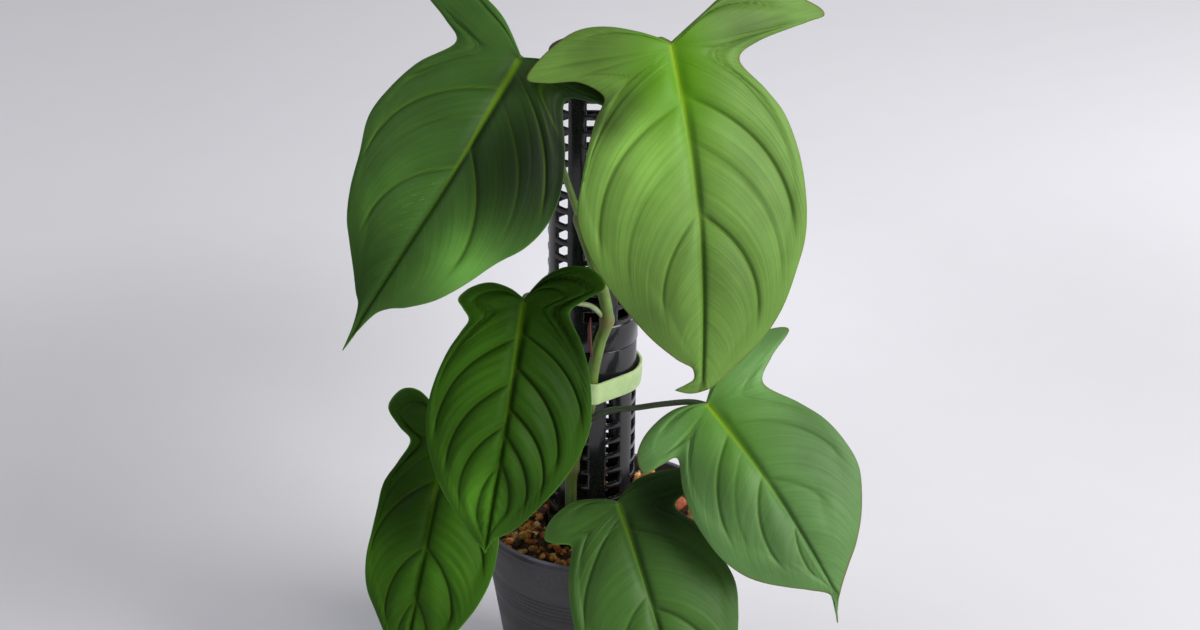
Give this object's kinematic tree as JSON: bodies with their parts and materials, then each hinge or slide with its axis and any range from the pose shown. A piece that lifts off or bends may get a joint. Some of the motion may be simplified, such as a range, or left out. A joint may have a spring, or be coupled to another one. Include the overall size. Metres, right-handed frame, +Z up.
{
  "type": "potted climbing philodendron",
  "caption": "Potted climbing philodendron with drooping heart-shaped leaves, tied to a slotted plastic pole in a round ribbed nursery pot.",
  "frame": {"origin": "middle of the pot's underside, on the surface it stands on", "axes": "+Z up along the pot's axis, -Y towards the side most leaves face, +X to that viewer's right"},
  "size_m": [0.2542, 0.1752, 0.4204],
  "materials": {
    "pot_plastic": "satin moulded plastic",
    "pole_plastic": "glossy black plastic",
    "substrate": "coarse bark and clay grains",
    "clay": "unglazed baked clay",
    "stem": "smooth green stem",
    "leaf": "satin leaf",
    "tie_fabric": "soft pale green band"
  },
  "bodies": {
    "root": {"pot": "pot_plastic", "substrate": "substrate", "clay_chip": "clay", "pole_lower": "pole_plastic", "pole_upper": "pole_plastic", "vine": "stem", "tie": "tie_fabric", "leaf_top_left": "leaf", "leaf_top_right": "leaf", "leaf_mid_left": "leaf", "leaf_low_left": "leaf", "leaf_low_right": "leaf", "leaf_front": "leaf"}
  },
  "joints": []
}
